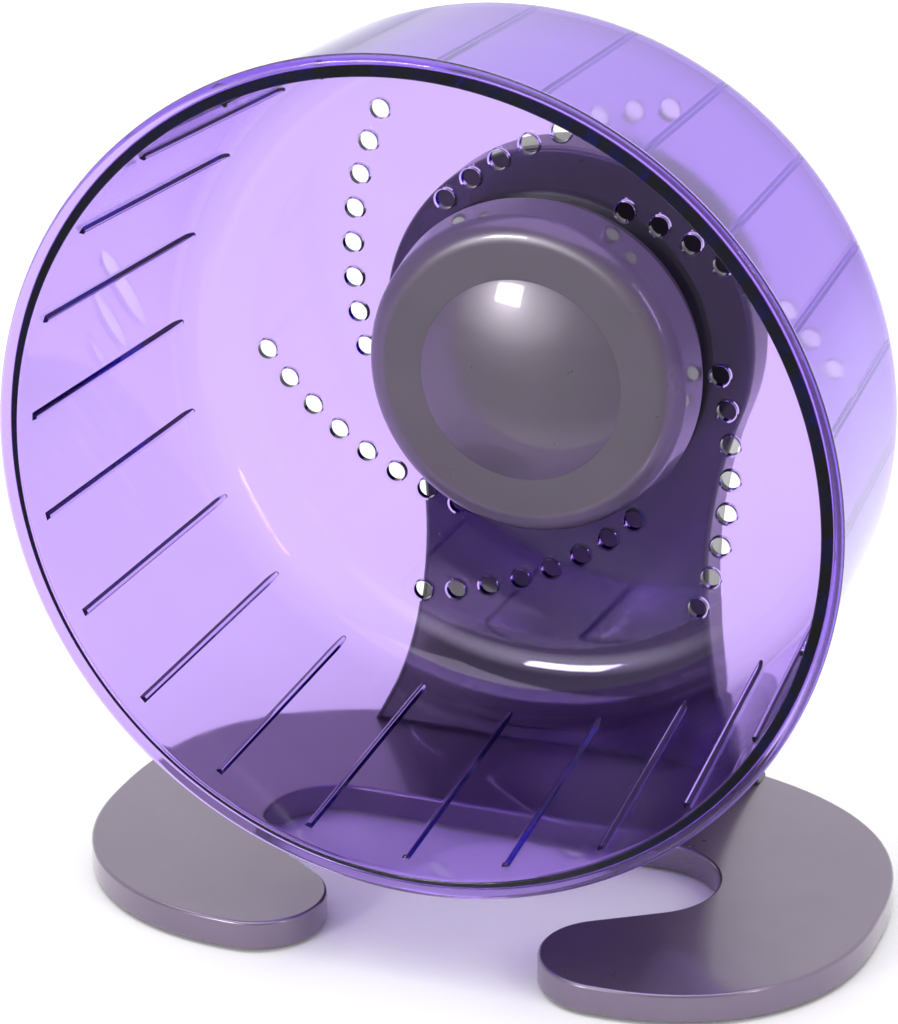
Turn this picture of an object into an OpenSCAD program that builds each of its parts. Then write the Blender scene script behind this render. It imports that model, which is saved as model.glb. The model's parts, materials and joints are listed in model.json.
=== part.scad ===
// Hamster wheel: a see-through running drum that turns on ball bearings,
// carried by one rear upright on a C-shaped base.
// X is to the right, Y to the back along the wheel's axle, Z up.
// The origin is on the floor, at the middle of the base's width and depth.

/* [Wheel drum] */
// Outer diameter of the front rim
wheel_d = 165; // [150:0.5:180]
// Depth from the rim's front to the back of the disc
wheel_depth = 76; // [68:0.5:84]
// Thickness of the drum's wall
wall_t = 2; // [1.6:0.1:2.6]
// Thickness of the back disc
disc_t = 2; // [1.6:0.1:2.6]
// Depth of the lip round the front rim
lip_d = 2.2; // [1.5:0.1:8]
// How far the lip stands out from the wall
lip_step = 2.2; // [1:0.1:3]
// How much narrower the wall's radius is at the back than at the front
wall_draft = 4.2; // [2:0.1:6]
// Outer radius of the rounded back corner
corner_r = 16; // [12:0.5:20]

/* [Ribs] */
// Running ribs round the inside of the wall
rib_count = 24; // [12:1:30]
// Width of a rib
rib_w = 1.6; // [1:0.1:2.4]
// Height of a rib above the wall
rib_h = 1.4; // [0.8:0.1:2]
// Distance from the rim's front to the ribs
rib_start = 5.8; // [2:0.1:12]
// Angle of the first rib, from the right-hand side upwards
rib_phase = 13.2; // [0:0.1:30]

/* [Vent holes] */
// Curved rows of vent holes in the disc
vent_rows = 6; // [3:1:7]
// Holes in one row
vent_holes = 8; // [3:1:9]
// Diameter of a vent hole
vent_d = 4; // [2:0.1:5]
// Spacing of the holes along a row
vent_pitch = 7.3; // [6:0.1:8]
// Radius of the arc that a row follows
vent_arc_r = 77; // [70:0.5:90]
// Distance of that arc's centre from the axle
vent_arc_off = 41.4; // [38:0.1:46]
// Gap from the hub's edge to the centre of a row's inmost hole
vent_hub_gap = 3.3; // [2.8:0.1:6]
// Angle of the first row's arc centre, from the right-hand side upwards
vent_phase = 26.5; // [0:0.5:60]

/* [Hub] */
// Diameter of the hub cap where it meets the disc
hub_d = 68; // [64:0.5:72]
// Height of the hub cap's ring face above the disc
hub_h = 11.5; // [10:0.1:14]
// Wall of the hub cap
hub_wall = 2; // [1.5:0.1:2.5]
// How much narrower the hub cap's side is at its front
hub_draft = 1; // [0.2:0.1:2]
// Radius of the hub cap's rounded shoulder
hub_edge_r = 5; // [3:0.1:7]
// Diameter of the domed centre cap
dome_d = 41.6; // [36:0.1:44]
// How far the dome rises above the ring face
dome_h = 4; // [2:0.1:6]
// Wall of the dome
dome_wall = 1.6; // [1:0.1:2]
// Width of the ledge that the dome sits on
dome_ledge = 2; // [1.2:0.1:2.6]
// Depth of that ledge below the ring face
dome_seat = 1; // [0.6:0.1:1.2]
// Depth of the dome's snap skirt behind its ledge
dome_skirt = 3; // [2:0.1:4]
// Diameter of the hub housing's flange behind the disc
flange_d = 65; // [58:0.5:68]
// Thickness of that flange
flange_t = 3; // [2:0.1:4]
// Outer diameter of the hub housing's bearing tube
housing_d = 28; // [26:0.1:32]
// Bore between the two bearing seats
housing_bore = 18; // [16:0.1:19]
// Screws that clamp the hub to the disc
hub_screw_count = 4; // [3:1:6]
// Distance of these screws from the axle
hub_screw_r = 24.5; // [23.5:0.1:26]
// Diameter of the screw bosses inside the hub cap
hub_boss_d = 6.6; // [6:0.1:7]

/* [Bearings and axle] */
// Bore of a ball bearing
bearing_bore = 8; // [7.6:0.1:8.4]
// Outer diameter of a ball bearing
bearing_od = 22; // [21.4:0.1:22.6]
// Width of a ball bearing
bearing_w = 7; // [6.6:0.1:7.6]
// Thickness of the bearing rings' shoulders
ring_t = 2; // [1.8:0.1:2.2]
// Diameter of the balls
ball_d = 3.97; // [3.6:0.01:4.2]
// Balls in a bearing
ball_count = 7; // [5:1:8]
// Radial thickness of the ball cage
cage_t = 1.4; // [1:0.1:1.8]
// Width of the ball cage
cage_w = 5; // [4.8:0.1:5.2]
// Thickness of a bearing shield
shield_t = 0.4; // [0.3:0.05:0.5]
// Depth of a shield behind its bearing's face
shield_in = 0.2; // [0.1:0.05:0.25]
// Radial gap between a shield and the inner ring
shield_gap = 0.4; // [0.3:0.05:0.8]
// Length of the spacer between the two bearings
bearing_gap = 7.5; // [6:0.1:9]
// Outer diameter of the spacers and the washer
spacer_d = 12; // [11.5:0.1:12.5]
// Length of the spacer between the upright and the rear bearing
rear_spacer_l = 1.5; // [1:0.1:3]
// Thickness of the washer under the lock nut
washer_t = 1.2; // [0.8:0.1:1.6]
// Thickness of the lock nut
nut_h = 5; // [4:0.1:5.4]
// Width across flats of the lock nut and the axle's head
hex_af = 13; // [12:0.1:14]
// Thickness of the axle's hexagon head
axle_head_h = 3; // [2.5:0.1:3.2]
// How far the axle stands out of the lock nut
axle_tip = 0.4; // [0:0.1:0.6]

/* [Base] */
// Height of the axle above the floor
axis_h = 101.3; // [98:0.1:112]
// Width of the base
base_w = 162.6; // [156:0.2:176]
// Depth of the base
base_d = 102.4; // [101:0.2:112]
// Thickness of the base plate
base_t = 6; // [5:0.1:8]
// Distance from the base's front to its widest line
base_wide = 44.4; // [40:0.1:50]
// Fullness of the base's rear corners, where 2 is an ellipse
rear_full = 2.6; // [2.2:0.1:3]
// Fullness of the base's front corners
front_full = 2.2; // [2:0.1:2.6]
// Clear gap between the tips of the two feet
foot_gap = 45.6; // [38:0.2:52]
// Radius of a foot's rounded tip
foot_tip_r = 13.7; // [11:0.1:14]
// Width of the legs at the sides
leg_w = 33.3; // [30:0.1:37]
// Depth of the crossbar at the back
crossbar_d = 41.5; // [37:0.1:42]
// Radius of the inner opening's rounded ends
slot_r = 15; // [12:0.1:16]
// Diameter of the rubber foot pads
pad_d = 12; // [8:0.5:16]
// Thickness of a pad
pad_t = 2; // [1.4:0.1:3]
// How far the pads stand below the base plate
pad_proud = 0.8; // [0.4:0.1:1.2]
// Distance of the rear pads from the middle
pad_rear_x = 56; // [46:0.5:62]
// Distance of the rear pads in front of the base's rear edge
pad_rear_in = 24; // [20:0.5:32]

/* [Upright] */
// Thickness of the upright at its middle
upright_t = 10; // [9.6:0.1:13]
// Clear gap between the disc and the upright
wheel_gap = 15.5; // [14:0.1:18]
// Diameter of the upright's round head
head_d = 78.8; // [74:0.2:86]
// Width of the upright at its waist
waist_w = 61.6; // [56:0.2:66]
// Distance of the waist below the axle
waist_drop = 47.5; // [42:0.1:50]
// Distance of the upright's flat back in front of the base's rear edge
back_in = 0.2; // [0.1:0.05:0.5]
// Angle at which the back's round corners at the foot run out upwards
back_lean = 3; // [2:0.5:6]
// Wall of the upright's shell
upright_wall = 2.4; // [2:0.1:3]
// Thickness of the upright's floor, which stands on the base
upright_floor = 3; // [2:0.1:5]
// Thickness of the rear cover
cover_t = 2; // [1.6:0.1:2.4]
// Thickness of the wall that the axle is clamped to
axle_boss_t = 4.4; // [3.6:0.1:4.6]
// Diameter of that clamping boss
axle_boss_d = 24; // [20:0.5:28]
// Spacing of the base screws
base_screw_pitch = 20; // [16:0.5:24]
// Number of base screws
base_screw_count = 3; // [2:1:3]
// Diameter of the posts for the base screws
base_post_d = 6.4; // [6:0.1:7]
// Height of the posts for the base screws above the base
base_post_h = 14; // [12:0.5:18]
// Distance of the base screws behind the upright's front face
base_screw_y = 3.9; // [3.7:0.1:4.2]
// Diameter of the posts for the cover screws
cover_post_d = 7; // [6.5:0.1:8]
// Distance of the cover screws from the middle
cover_screw_x = 18; // [15:0.5:19]
// Height of the upper cover screws above the axle
cover_screw_up = 20; // [16:0.5:22]
// Height of the lower cover screws above the floor
cover_screw_low = 36; // [32:0.5:44]

/* [Screws and fits] */
// Diameter of the screws' shanks
screw_d = 3; // [2.6:0.1:3.2]
// Diameter of the screws' heads
screw_head_d = 5.6; // [5:0.1:6]
// Height of a screw's head
screw_head_h = 1.8; // [1.5:0.1:2]
// Height of a cover screw's sunk head
sunk_head_h = 1.2; // [1:0.1:1.5]
// Length of a hub screw's shank
hub_screw_l = 12; // [9:0.1:13]
// Length of a base screw's shank
base_screw_l = 14; // [11:0.5:15]
// Length of a cover screw's shank
cover_screw_l = 5; // [4:0.1:5.6]
// Radial clearance of parts that are fitted together
fit = 0.05; // [0.02:0.01:0.1]
// Radial clearance of the balls in their races and pockets
ball_clear = 0.1; // [0.05:0.01:0.15]
// Clearance round covers and caps
cap_clear = 0.15; // [0.1:0.05:0.3]

/* [Hidden] */
$fn = 96;
outline_steps = 24;
cut = 1;

purple = [0.66, 0.52, 0.93, 0.55];
pewter = [0.56, 0.52, 0.57];
dark_pewter = [0.40, 0.37, 0.42];
steel = [0.74, 0.75, 0.77];
black_rubber = [0.12, 0.12, 0.13];
nylon = [0.85, 0.82, 0.72];

// Places along Y
rear_y = base_d / 2;
upright_y = rear_y - upright_t;
rim_y = upright_y - wheel_gap - wheel_depth;
base_z = pad_proud;
base_top = base_z + base_t;

// Places along the axle, measured backwards from the rim's front
u_disc = wheel_depth - disc_t;
u_upright = wheel_depth + wheel_gap;
u_hub_face = u_disc - hub_h;
u_rear_bearing = u_upright - rear_spacer_l - bearing_w;
u_front_bearing = u_rear_bearing - bearing_gap - bearing_w;
u_washer = u_front_bearing - washer_t;
u_nut = u_washer - nut_h;
u_axle_head = u_upright + axle_boss_t;

// The drum's wall, as a line that touches the round back corner
rim_r = wheel_d / 2;
wall_front = [rim_r - lip_step, lip_d];
corner_c = [rim_r - lip_step - wall_draft - corner_r, wheel_depth - corner_r];
corner_in_r = corner_r - wall_t;
corner_in_c = [corner_c.x, u_disc - corner_in_r];
wall_a = tangent_angle(wall_front, corner_c, corner_r, 1);
wall_normal = [cos(wall_a), sin(wall_a)];
wall_back = [-sin(wall_a), cos(wall_a)];
wall_end = corner_c + corner_r * wall_normal;
wall_in_end = corner_in_c + corner_in_r * wall_normal;

// The dome's sphere, and the hub's shoulder
dome_r = dome_d / 2;
dome_sphere_r = (dome_r * dome_r + dome_h * dome_h) / (2 * dome_h);
hub_shoulder_c = [hub_d / 2 - hub_draft - hub_edge_r, hub_edge_r];
hub_foot = [hub_d / 2, hub_h];
hub_a = tangent_angle(hub_foot, hub_shoulder_c, hub_edge_r, -1);
hub_normal = [cos(hub_a), sin(hub_a)];

// Bearing
pitch_r = (bearing_bore + bearing_od) / 4;
race_r = ball_d / 2 + ball_clear;
axle_d = bearing_bore - 2 * fit;

// Angles along a row of vent holes, from its inmost hole outwards
vent_in_r = hub_d / 2 + vent_hub_gap;
vent_in_cos = (pow(vent_in_r, 2) - pow(vent_arc_off, 2) - pow(vent_arc_r, 2))
    / (2 * vent_arc_off * vent_arc_r);
vent_in_a = acos(vent_in_cos);
vent_step = vent_pitch / vent_arc_r * 180 / PI;

// The base's outline
wide_y = base_wide - base_d / 2;
tip_c = [foot_gap / 2 + foot_tip_r, foot_tip_r - base_d / 2];
slot_c = [base_w / 2 - leg_w - slot_r, rear_y - crossbar_d - slot_r];
tip_to_slot = slot_c - tip_c;
arm_a = atan2(tip_to_slot.y, tip_to_slot.x)
    + acos((foot_tip_r + slot_r) / norm(tip_to_slot));
half_outline = concat(
    oval_points([0, wide_y], base_w / 2, rear_y - wide_y, rear_full, 90, 0),
    oval_points([tip_c.x, wide_y], base_w / 2 - tip_c.x, base_wide, front_full, 0, -90),
    arc_points(tip_c, foot_tip_r, -90, arm_a - 360),
    arc_points(slot_c, slot_r, arm_a - 180, 90)
);

// The upright's outline and its back, whose corners follow the base's rear edge at the foot
head_r = head_d / 2;
waist_h = axis_h - waist_drop;
neck_r = (pow(waist_w / 2, 2) + pow(waist_drop, 2) - pow(head_r, 2)) / (head_d - waist_w);
neck_x = waist_w / 2 + neck_r;
neck_join_h = axis_h - waist_drop * head_r / (head_r + neck_r);
foot_x = neck_x - sqrt(pow(neck_r, 2) - pow(waist_h - base_top, 2));
foot_rear_y = wide_y + (rear_y - wide_y) * pow(1 - pow(2 * foot_x / base_w, rear_full), 1 / rear_full);
rear_sag = rear_y - foot_rear_y;
back_r = (foot_x * foot_x + rear_sag * rear_sag) / (2 * rear_sag);
hollow_z = base_top + upright_floor;

// The cover screws' heads lie just under the back
cover_screw_reach = cover_screw_x + screw_head_d / 2;
cover_screw_rise = cover_screw_low - screw_head_d / 2 - base_top;
cover_screw_y = rear_y - fit - max(back_in,
    back_r - sqrt(pow(back_r, 2) - pow(cover_screw_reach, 2)) - cover_screw_rise * tan(back_lean));

// Angle at which a line from point p touches a circle
function tangent_angle(p, c, r, side) =
    atan2(p.y - c.y, p.x - c.x) + side * acos(r / norm(p - c));

// Points along an arc, from angle a0 to angle a1
function arc_points(c, r, a0, a1) = [
    for (i = [0:outline_steps])
        let (a = a0 + (a1 - a0) * i / outline_steps)
        c + r * [cos(a), sin(a)]
];

// Points along a quarter of a full oval, from angle a0 to angle a1
function oval_points(c, rx, ry, fullness, a0, a1) = [
    for (i = [0:outline_steps])
        let (a = a0 + (a1 - a0) * i / outline_steps)
        c + [
            rx * sign(cos(a)) * pow(abs(cos(a)), 2 / fullness),
            ry * sign(sin(a)) * pow(abs(sin(a)), 2 / fullness)
        ]
];

// Outline points mirrored to the left side, in reverse order
function mirrored(points) = [
    for (i = [len(points) - 1:-1:0])
        [-points[i].x, points[i].y]
];

// Puts a shape on the axle, its own Z running backwards from distance u behind the rim
module on_axle(u = 0) {
    translate([0, rim_y + u, axis_h])
        rotate([-90, 0, 0])
            children();
}

// A ring or disc on the local Z axis
module ring(outer_d, inner_d, h) {
    difference() {
        cylinder(d = outer_d, h = h);
        translate([0, 0, -cut])
            cylinder(d = inner_d, h = h + 2 * cut);
    }
}

// Copies a shape round the local Z axis, at a distance from it
module around(count, radius, phase = 0) {
    for (i = [0:count - 1])
        rotate([0, 0, phase + i * 360 / count])
            translate([radius, 0, 0])
                children();
}

// A screw with its head's bearing face at the origin and its shank along +Z
module pan_screw(shank_l) {
    translate([0, 0, -screw_head_h])
        cylinder(d = screw_head_d, h = screw_head_h);
    cylinder(d = screw_d, h = shank_l);
}

// A sunk screw with the top of its head at the origin and its shank along +Z
module sunk_screw(shank_l, grow = 0) {
    cylinder(d1 = screw_head_d + 2 * grow, d2 = screw_d + 2 * grow, h = sunk_head_h);
    cylinder(d = screw_d + 2 * grow, h = sunk_head_h + shank_l);
}

// Base

// The base's outline, with its feet at the front
module base_outline() {
    polygon(concat(half_outline, mirrored(half_outline)));
}

module pad_places() {
    for (side = [-1, 1]) {
        translate([side * tip_c.x, tip_c.y, 0])
            children();
        translate([side * pad_rear_x, rear_y - pad_rear_in, 0])
            children();
    }
}

module base_screw_places() {
    for (i = [0:base_screw_count - 1])
        translate([
            (i - (base_screw_count - 1) / 2) * base_screw_pitch,
            upright_y + base_screw_y, 0
        ])
            children();
}

module base_plate() {
    color(pewter)
        difference() {
            translate([0, 0, base_z])
                linear_extrude(base_t)
                    base_outline();
            pad_places()
                translate([0, 0, -cut])
                    cylinder(d = pad_d + 2 * fit, h = cut + pad_t);
            base_screw_places() {
                translate([0, 0, base_z - cut])
                    cylinder(d = screw_d + 2 * cap_clear, h = base_t + 2 * cut);
                translate([0, 0, base_z - cut])
                    cylinder(d = screw_head_d + 2 * cap_clear, h = cut + screw_head_h + cap_clear);
            }
        }
}

module foot_pads() {
    color(black_rubber)
        pad_places()
            cylinder(d = pad_d, h = pad_t);
}

module base_screws() {
    color(steel)
        base_screw_places()
            translate([0, 0, base_z + screw_head_h + cap_clear])
                pan_screw(base_screw_l);
}

// Upright

// The upright's outline seen from the front, drawn in by a wall
module upright_outline(inset, bottom_z) {
    translate([0, axis_h])
        circle(r = head_r - inset);
    difference() {
        translate([-foot_x, bottom_z])
            square([2 * foot_x, neck_join_h - bottom_z]);
        for (side = [-1, 1])
            translate([side * neck_x, waist_h])
                circle(r = neck_r + inset);
    }
}

// A block with the upright's outline, from y0 back to y1
module upright_block(inset, bottom_z, y0, y1) {
    translate([0, y1, 0])
        rotate([90, 0, 0])
            linear_extrude(y1 - y0)
                upright_outline(inset, bottom_z);
}

// The space in front of the upright's back, drawn in by a depth: a flat, and a round that leans out
module before_back(depth) {
    intersection() {
        translate([0, rear_y, base_top])
            rotate([-back_lean, 0, 0])
                translate([0, -back_r, -head_d])
                    cylinder(r = back_r - depth, h = axis_h + 3 * head_d, $fn = 4 * $fn);
        translate([-base_w / 2, rear_y - base_d, -cut])
            cube([base_w, base_d - back_in - depth, axis_h + head_d]);
    }
}

module cover_screw_places() {
    for (side = [-1, 1])
        for (z = [cover_screw_low, axis_h + cover_screw_up])
            translate([side * cover_screw_x, 0, z])
                children();
}

module cover_screw_row(grow = 0) {
    cover_screw_places()
        translate([0, cover_screw_y, 0])
            rotate([90, 0, 0])
                sunk_screw(cover_screw_l, grow);
}

// Bosses and posts inside the shell, as far back as the cover
module upright_posts() {
    intersection() {
        union() {
            on_axle(u_upright + cap_clear)
                cylinder(d = axle_boss_d, h = axle_boss_t - cap_clear);
            cover_screw_places()
                translate([0, upright_y + upright_t, 0])
                    rotate([90, 0, 0])
                        cylinder(d = cover_post_d, h = upright_t - upright_wall / 2);
            base_screw_places()
                translate([0, 0, base_top + cap_clear])
                    cylinder(d = base_post_d, h = base_post_h);
        }
        before_back(cover_t + cap_clear);
        upright_block(upright_wall / 2, base_top, upright_y, rear_y);
    }
}

module upright_shell() {
    color(pewter)
        difference() {
            union() {
                difference() {
                    intersection() {
                        upright_block(0, base_top, upright_y, rear_y);
                        before_back(0);
                    }
                    upright_block(upright_wall, hollow_z, upright_y + upright_wall, rear_y + cut);
                }
                upright_posts();
            }
            on_axle(u_upright - cut)
                cylinder(d = axle_d + 2 * fit, h = axle_boss_t + 2 * cut);
            cover_screw_row(fit);
            base_screw_places()
                translate([0, 0, base_top - cut])
                    cylinder(d = screw_d + 2 * fit, h = cut + base_post_h - upright_wall);
        }
}

module upright_cover() {
    color(pewter)
        difference() {
            intersection() {
                upright_block(upright_wall + cap_clear, hollow_z + cap_clear, upright_y, rear_y);
                before_back(0);
            }
            before_back(cover_t);
            cover_screw_row(cap_clear);
            cover_screw_places()
                translate([0, cover_screw_y, 0])
                    rotate([-90, 0, 0])
                        cylinder(d = screw_head_d + 2 * cap_clear, h = rear_y - cover_screw_y + cut);
        }
}

module cover_screws() {
    color(steel)
        cover_screw_row();
}

// Axle and what is clamped on it

module axle() {
    color(steel) {
        on_axle(u_axle_head)
            cylinder(d = hex_af / cos(30), h = axle_head_h, $fn = 6);
        on_axle(u_nut - axle_tip)
            cylinder(d = axle_d, h = u_axle_head - u_nut + axle_tip);
    }
}

module axle_spacer() {
    color(steel)
        on_axle(u_upright - rear_spacer_l)
            ring(spacer_d, bearing_bore, rear_spacer_l);
}

module bearing_spacer() {
    color(steel)
        on_axle(u_rear_bearing - bearing_gap)
            ring(spacer_d, bearing_bore, bearing_gap);
}

module axle_washer() {
    color(steel)
        on_axle(u_washer)
            ring(spacer_d, bearing_bore, washer_t);
}

module lock_nut() {
    color(steel)
        on_axle(u_nut)
            difference() {
                cylinder(d = hex_af / cos(30), h = nut_h, $fn = 6);
                translate([0, 0, -cut])
                    cylinder(d = bearing_bore, h = nut_h + 2 * cut);
            }
}

// Ball bearings

// A bearing ring between two radii, with its ball race
module bearing_ring(inner_r, outer_r) {
    rotate_extrude()
        difference() {
            translate([inner_r, 0])
                square([outer_r - inner_r, bearing_w]);
            translate([pitch_r, bearing_w / 2])
                circle(r = race_r);
        }
}

module inner_ring() {
    color(steel)
        bearing_ring(bearing_bore / 2, bearing_bore / 2 + ring_t);
}

module outer_ring() {
    color(steel)
        bearing_ring(bearing_od / 2 - ring_t, bearing_od / 2);
}

module balls() {
    color(steel)
        around(ball_count, pitch_r)
            translate([0, 0, bearing_w / 2])
                sphere(d = ball_d);
}

module ball_cage() {
    color(nylon)
        difference() {
            translate([0, 0, (bearing_w - cage_w) / 2])
                ring(2 * pitch_r + cage_t, 2 * pitch_r - cage_t, cage_w);
            around(ball_count, pitch_r)
                translate([0, 0, bearing_w / 2])
                    rotate([0, 90, 0])
                        cylinder(r = race_r, h = 2 * cage_t, center = true);
        }
}

// Two shields held in the outer ring, clear of the inner one
module shields() {
    color(dark_pewter)
        for (z = [shield_in, bearing_w - shield_in - shield_t])
            translate([0, 0, z])
                ring(
                    bearing_od - 2 * ring_t - 2 * fit,
                    bearing_bore + 2 * ring_t + 2 * shield_gap,
                    shield_t
                );
}

module front_inner_ring() { on_axle(u_front_bearing) inner_ring(); }
module front_outer_ring() { on_axle(u_front_bearing) outer_ring(); }
module front_balls() { on_axle(u_front_bearing) balls(); }
module front_cage() { on_axle(u_front_bearing) ball_cage(); }
module front_shields() { on_axle(u_front_bearing) shields(); }
module rear_inner_ring() { on_axle(u_rear_bearing) inner_ring(); }
module rear_outer_ring() { on_axle(u_rear_bearing) outer_ring(); }
module rear_balls() { on_axle(u_rear_bearing) balls(); }
module rear_cage() { on_axle(u_rear_bearing) ball_cage(); }
module rear_shields() { on_axle(u_rear_bearing) shields(); }

// Hub

module hub_screw_places() {
    around(hub_screw_count, hub_screw_r, 180 / hub_screw_count)
        children();
}

// Holes for the hub screws through the flange and the disc
module hub_screw_holes(u, h) {
    on_axle(u)
        hub_screw_places()
            cylinder(d = screw_d + 2 * cap_clear, h = h);
}

module hub_housing() {
    color(dark_pewter)
        difference() {
            union() {
                on_axle(u_front_bearing)
                    cylinder(d = housing_d, h = u_rear_bearing + bearing_w - u_front_bearing);
                on_axle(wheel_depth)
                    cylinder(d = flange_d, h = flange_t);
            }
            on_axle(u_front_bearing - cut)
                cylinder(d = bearing_od + 2 * fit, h = cut + bearing_w);
            on_axle(u_front_bearing)
                cylinder(d = housing_bore, h = 2 * bearing_w + bearing_gap);
            on_axle(u_rear_bearing)
                cylinder(d = bearing_od + 2 * fit, h = bearing_w + cut);
            hub_screw_holes(wheel_depth - cut, flange_t + 2 * cut);
        }
}

// The hub cap's section, drawn in by a wall, from its ring face back to a depth
module hub_section(inset, depth) {
    foot = hub_foot - inset * hub_normal;
    touch = hub_shoulder_c + (hub_edge_r - inset) * hub_normal;
    polygon([
        [0, inset], [hub_shoulder_c.x, inset], hub_shoulder_c, touch,
        [foot.x, depth], [0, depth]
    ]);
    translate(hub_shoulder_c)
        circle(r = hub_edge_r - inset);
}

module hub_cap() {
    color(pewter)
        difference() {
            union() {
                on_axle(u_hub_face)
                    rotate_extrude()
                        difference() {
                            hub_section(0, hub_h);
                            hub_section(hub_wall, hub_h + cut);
                        }
                on_axle(u_hub_face + hub_wall / 2)
                    hub_screw_places()
                        cylinder(d = hub_boss_d, h = hub_h - hub_wall / 2);
            }
            on_axle(u_hub_face - cut)
                cylinder(d = dome_d + 2 * fit, h = cut + dome_seat);
            on_axle(u_hub_face - cut)
                cylinder(d = dome_d - 2 * dome_ledge + 2 * fit, h = 2 * cut + hub_wall);
            on_axle(u_disc + disc_t + flange_t - hub_screw_l - cap_clear)
                hub_screw_places()
                    cylinder(d = screw_d + 2 * fit, h = hub_screw_l);
        }
}

// The dome's section, from its ring face: the ball's cap, its seat and its snap skirt
module dome_section() {
    difference() {
        union() {
            intersection() {
                translate([0, dome_sphere_r - dome_h])
                    circle(r = dome_sphere_r);
                translate([0, -dome_h - cut])
                    square([dome_r, dome_h + cut]);
            }
            square([dome_r, dome_seat]);
            square([dome_r - dome_ledge, dome_seat + dome_skirt]);
        }
        intersection() {
            translate([0, dome_sphere_r - dome_h])
                circle(r = dome_sphere_r - dome_wall);
            translate([0, -dome_h])
                square([dome_r - dome_ledge - dome_wall, dome_sphere_r]);
        }
    }
}

module hub_dome() {
    color(pewter)
        on_axle(u_hub_face)
            rotate_extrude()
                dome_section();
}

module hub_screws() {
    color(steel)
        on_axle(wheel_depth + flange_t)
            hub_screw_places()
                rotate([180, 0, 0])
                    pan_screw(hub_screw_l);
}

// Running drum

// The drum's outside, as a section from the axle outwards
module drum_outside() {
    polygon([
        [0, 0], [rim_r, 0], [rim_r, lip_d], wall_front, wall_end, corner_c,
        [corner_c.x, wheel_depth], [0, wheel_depth]
    ]);
    translate(corner_c)
        circle(r = corner_r);
}

// The drum's hollow, open at the front
module drum_inside() {
    wall_mouth = wall_in_end - wall_back * (wall_in_end.y + cut) / wall_back.y;
    polygon([
        [0, -cut], wall_mouth, wall_in_end, corner_in_c,
        [corner_in_c.x, u_disc], [0, u_disc]
    ]);
    translate(corner_in_c)
        circle(r = corner_in_r);
}

// One rib, rooted in the middle of the wall and running out into the round corner
module running_rib() {
    root_r = corner_in_r + wall_t / 2;
    crest_r = corner_in_r - rib_h;
    root = corner_in_c + root_r * wall_normal;
    crest = corner_in_c + crest_r * wall_normal;
    run = (wall_in_end.y - rib_start) / wall_back.y;
    fade = sqrt(pow(root_r, 2) - pow(crest_r, 2));
    rotate([90, 0, 0])
        linear_extrude(rib_w, center = true)
            polygon([
                crest - run * wall_back, crest + fade * wall_back,
                root, root - run * wall_back
            ]);
}

module vent_row() {
    for (i = [0:vent_holes - 1])
        rotate([0, 0, vent_in_a - i * vent_step])
            translate([vent_arc_r, 0, 0])
                cylinder(d = vent_d, h = disc_t + 2 * cut);
}

module wheel_drum() {
    color(purple)
        difference() {
            on_axle(0) {
                rotate_extrude()
                    difference() {
                        drum_outside();
                        drum_inside();
                    }
                for (i = [0:rib_count - 1])
                    rotate([0, 0, -rib_phase - i * 360 / rib_count])
                        running_rib();
            }
            on_axle(u_disc - cut)
                for (i = [0:vent_rows - 1])
                    rotate([0, 0, -vent_phase - i * 360 / vent_rows])
                        translate([vent_arc_off, 0, 0])
                            mirror([0, 1, 0])
                                vent_row();
            on_axle(u_disc - cut)
                cylinder(d = housing_d + 2 * fit, h = disc_t + 2 * cut);
            hub_screw_holes(u_disc - cut, disc_t + 2 * cut);
        }
}

base_plate();
foot_pads();
upright_shell();
upright_cover();
cover_screws();
base_screws();
axle();
axle_spacer();
bearing_spacer();
axle_washer();
lock_nut();
front_inner_ring();
front_outer_ring();
front_balls();
front_cage();
front_shields();
rear_inner_ring();
rear_outer_ring();
rear_balls();
rear_cage();
rear_shields();
hub_housing();
hub_cap();
hub_dome();
hub_screws();
wheel_drum();
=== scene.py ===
import json
import math

import bpy
from bpy.props import FloatProperty, FloatVectorProperty, IntProperty, PointerProperty
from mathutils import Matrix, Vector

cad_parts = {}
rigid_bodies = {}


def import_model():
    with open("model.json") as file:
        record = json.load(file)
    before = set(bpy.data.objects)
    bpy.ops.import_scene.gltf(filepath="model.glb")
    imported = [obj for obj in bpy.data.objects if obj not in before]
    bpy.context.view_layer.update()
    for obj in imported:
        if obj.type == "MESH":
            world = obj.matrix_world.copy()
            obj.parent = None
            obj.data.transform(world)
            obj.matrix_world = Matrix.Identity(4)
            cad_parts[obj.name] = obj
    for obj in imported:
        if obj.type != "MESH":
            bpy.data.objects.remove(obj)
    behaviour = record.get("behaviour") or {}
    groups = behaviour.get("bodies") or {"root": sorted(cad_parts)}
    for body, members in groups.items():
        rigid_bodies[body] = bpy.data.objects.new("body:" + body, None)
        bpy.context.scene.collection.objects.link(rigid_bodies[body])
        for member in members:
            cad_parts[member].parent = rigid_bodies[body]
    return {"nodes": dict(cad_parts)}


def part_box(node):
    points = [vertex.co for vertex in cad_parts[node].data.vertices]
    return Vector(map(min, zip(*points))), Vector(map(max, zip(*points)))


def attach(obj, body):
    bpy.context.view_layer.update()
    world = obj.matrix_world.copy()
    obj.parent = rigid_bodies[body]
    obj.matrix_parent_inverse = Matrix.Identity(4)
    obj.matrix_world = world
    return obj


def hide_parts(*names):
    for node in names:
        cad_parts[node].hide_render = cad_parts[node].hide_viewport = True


bl_info = {
    "name": "Hamster wheel",
    "version": (1, 0, 0),
    "blender": (4, 5, 0),
    "location": "3D View > Sidebar > Hamster wheel",
    "description": "Dresses the solids of a hamster wheel with moulded pieces and a small studio",
    "category": "Object",
}

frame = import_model()

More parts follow.
